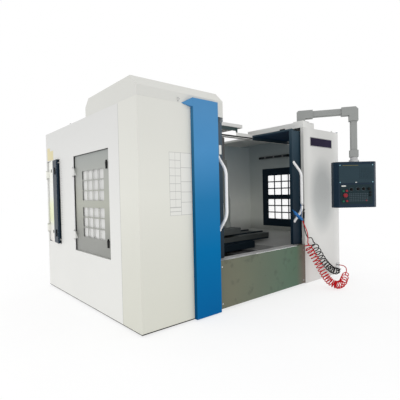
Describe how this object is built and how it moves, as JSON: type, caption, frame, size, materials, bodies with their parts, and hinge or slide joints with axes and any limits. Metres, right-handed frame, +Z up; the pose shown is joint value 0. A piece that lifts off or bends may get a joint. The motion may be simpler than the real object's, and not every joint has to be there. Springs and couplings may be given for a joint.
{
  "type": "cnc machining center",
  "caption": "Enclosed vertical milling machine with sliding doors, a hooded tool magazine, a moving table and head, a swinging operator panel and coiled air and coolant hoses.",
  "frame": {"origin": "centre of the four anchor holes in the levelling feet, on the floor", "axes": "+X to the right across the front, +Y from the front to the back, +Z up"},
  "size_m": [3.3475, 3.0522, 2.299],
  "materials": {
    "white_paint": "fine textured enamel",
    "blue_paint": "gloss enamel",
    "navy_paint": "satin enamel",
    "apron_paint": "satin enamel, smudged",
    "grey_paint": "satin enamel",
    "panel_light": "satin enamel",
    "stainless": "polished sheet",
    "bright_steel": "ground",
    "casting": "painted casting",
    "dark_iron": "machined, oiled",
    "door_glass": "clear laminated",
    "clear_pane": "clear sheet",
    "black_plastic": "moulded",
    "blue_plastic": "moulded",
    "red_plastic": "moulded",
    "green_plastic": "moulded",
    "red_hose": "extruded tube",
    "black_hose": "extruded tube",
    "lamp_white": "diffuser"
  },
  "bodies": {
    "machine_frame": {"machine_base": "casting", "levelling_feet": "bright_steel", "column": "casting", "left_side_panel": "white_paint", "front_left_panel": "white_paint", "blue_pillar": "blue_paint", "front_apron": "apron_paint", "right_front_panel": "panel_light", "right_side_panel": "grey_paint", "right_window_panel": "navy_paint", "right_window_pane": "clear_pane", "rear_cabinet": "white_paint", "roof_hood": "white_paint", "roof_cover": "panel_light", "door_rails": "stainless", "right_roof": "grey_paint", "chip_pans": "stainless", "work_lamp": "lamp_white", "pendant_flange": "grey_paint", "hose_bulkhead": "bright_steel", "red_hose": "red_hose", "black_hose": "black_hose", "red_coil": "red_hose", "black_coil": "black_hose"},
    "left_door": {"left_door": "navy_paint", "left_door_window": "door_glass", "left_door_handle": "bright_steel"},
    "right_door": {"right_door": "navy_paint", "right_door_window": "door_glass", "right_door_handle": "bright_steel", "air_gun": "blue_plastic", "coolant_gun": "black_plastic"},
    "gun_trigger": {"air_gun_trigger": "blue_plastic"},
    "window_door": {"left_window_door": "stainless", "left_window_pane": "clear_pane"},
    "window_latch_upper": {"window_latch_upper": "black_plastic"},
    "window_latch_lower": {"window_latch_lower": "black_plastic"},
    "access_door": {"rear_access_door": "white_paint"},
    "access_latch_upper": {"access_latch_upper": "black_plastic"},
    "access_latch_lower": {"access_latch_lower": "black_plastic"},
    "saddle": {"saddle": "casting", "saddle_cover": "dark_iron"},
    "table": {"table": "dark_iron"},
    "head": {"spindle_head": "grey_paint"},
    "spindle": {"spindle": "bright_steel"},
    "magazine": {"magazine_disc": "grey_paint"},
    "tool_arm": {"tool_arm": "bright_steel"},
    "pendant_arm": {"arm_elbows": "grey_paint", "arm_tubes": "grey_paint"},
    "operator_box": {"operator_box": "navy_paint", "front_bezel": "panel_light", "operator_panel": "black_plastic"},
    "cycle_start": {"cycle_start": "green_plastic"},
    "feed_hold": {"feed_hold": "red_plastic"},
    "power_on": {"power_on": "green_plastic"},
    "power_off": {"power_off": "red_plastic"},
    "emergency_stop": {"emergency_stop": "red_plastic"},
    "mode_knob": {"mode_knob": "black_plastic"},
    "feed_knob": {"feed_knob": "black_plastic"},
    "speed_knob": {"speed_knob": "black_plastic"}
  },
  "joints": [
    {"name": "left_door_slide", "type": "slide", "parent": "machine_frame", "child": "left_door", "axis": [1, 0, 0], "range_m": [0, 0.608]},
    {"name": "right_door_slide", "type": "slide", "parent": "machine_frame", "child": "right_door", "axis": [-1, 0, 0], "range_m": [0, 0.612]},
    {"name": "window_door_hinge", "type": "hinge", "parent": "machine_frame", "child": "window_door", "pos_m": [-1.659, 0.059, 1.125], "axis": [0, 0, -1], "range_deg": [0, 100]},
    {"name": "access_door_hinge", "type": "hinge", "parent": "machine_frame", "child": "access_door", "pos_m": [-1.659, 1, 1.145], "axis": [0, 0, -1], "range_deg": [-7, 93]},
    {"name": "window_latch_upper_turn", "type": "hinge", "parent": "window_door", "child": "window_latch_upper", "pos_m": [-1.632, -0.778, 1.509], "axis": [1, 0, 0], "range_deg": [0, 90]},
    {"name": "window_latch_lower_turn", "type": "hinge", "parent": "window_door", "child": "window_latch_lower", "pos_m": [-1.632, -0.778, 0.733], "axis": [1, 0, 0], "range_deg": [0, 90]},
    {"name": "access_latch_upper_turn", "type": "hinge", "parent": "access_door", "child": "access_latch_upper", "pos_m": [-1.68326, 0.58083, 1.525], "axis": [0.9925, -0.1219, 0], "range_deg": [0, 90]},
    {"name": "access_latch_lower_turn", "type": "hinge", "parent": "access_door", "child": "access_latch_lower", "pos_m": [-1.68326, 0.58083, 0.743], "axis": [0.9925, -0.1219, 0], "range_deg": [0, 90]},
    {"name": "saddle_slide", "type": "slide", "parent": "machine_frame", "child": "saddle", "axis": [0, 1, 0], "range_m": [-0.25, 0.35]},
    {"name": "table_slide", "type": "slide", "parent": "saddle", "child": "table", "axis": [1, 0, 0], "range_m": [-0.28, 0.82]},
    {"name": "head_slide", "type": "slide", "parent": "machine_frame", "child": "head", "axis": [0, 0, 1], "range_m": [-0.6, 0]},
    {"name": "spindle_spin", "type": "hinge", "parent": "head", "child": "spindle", "pos_m": [0, -0.35, 1.6], "axis": [0, 0, 1], "continuous": true},
    {"name": "magazine_spin", "type": "hinge", "parent": "machine_frame", "child": "magazine", "pos_m": [-0.745, -0.28, 1.69], "axis": [1, 0, 0], "continuous": true},
    {"name": "tool_arm_turn", "type": "hinge", "parent": "machine_frame", "child": "tool_arm", "pos_m": [-0.325, -0.35, 1.418], "axis": [0, 0, 1], "range_deg": [0, 180]},
    {"name": "pendant_arm_swing", "type": "hinge", "parent": "machine_frame", "child": "pendant_arm", "pos_m": [0.87, -1.31, 2.202], "axis": [0, 0, 1], "range_deg": [-80, 15]},
    {"name": "operator_box_swivel", "type": "hinge", "parent": "pendant_arm", "child": "operator_box", "pos_m": [1.221, -1.841, 1.6], "axis": [0, 0, 1], "range_deg": [-100, 100]},
    {"name": "cycle_start_press", "type": "slide", "parent": "operator_box", "child": "cycle_start", "axis": [0.6468, 0.7627, 0], "range_m": [0, 0.005], "stiffness_N_per_m": 600, "springref_m": -0.001},
    {"name": "feed_hold_press", "type": "slide", "parent": "operator_box", "child": "feed_hold", "axis": [0.6468, 0.7627, 0], "range_m": [0, 0.005], "stiffness_N_per_m": 600, "springref_m": -0.001},
    {"name": "power_on_press", "type": "slide", "parent": "operator_box", "child": "power_on", "axis": [0.6468, 0.7627, 0], "range_m": [0, 0.005], "stiffness_N_per_m": 600, "springref_m": -0.001},
    {"name": "power_off_press", "type": "slide", "parent": "operator_box", "child": "power_off", "axis": [0.6468, 0.7627, 0], "range_m": [0, 0.005], "stiffness_N_per_m": 600, "springref_m": -0.001},
    {"name": "emergency_stop_press", "type": "slide", "parent": "operator_box", "child": "emergency_stop", "axis": [0.6468, 0.7627, 0], "range_m": [0, 0.006], "stiffness_N_per_m": 1500, "springref_m": -0.001},
    {"name": "mode_knob_turn", "type": "hinge", "parent": "operator_box", "child": "mode_knob", "pos_m": [1.13056, -1.8456, 1.217], "axis": [-0.6468, -0.7627, 0], "range_deg": [-120, 120]},
    {"name": "feed_knob_turn", "type": "hinge", "parent": "operator_box", "child": "feed_knob", "pos_m": [1.19463, -1.89993, 1.221], "axis": [-0.6468, -0.7627, 0], "range_deg": [0, 270]},
    {"name": "speed_knob_turn", "type": "hinge", "parent": "operator_box", "child": "speed_knob", "pos_m": [1.24725, -1.94456, 1.221], "axis": [-0.6468, -0.7627, 0], "range_deg": [0, 270]},
    {"name": "gun_trigger_squeeze", "type": "hinge", "parent": "right_door", "child": "gun_trigger", "pos_m": [0.49442, -1.48, 0.90669], "axis": [0, -1, 0], "range_deg": [0, 8], "stiffness_Nm_per_rad": 1, "springref_deg": -5.73}
  ]
}
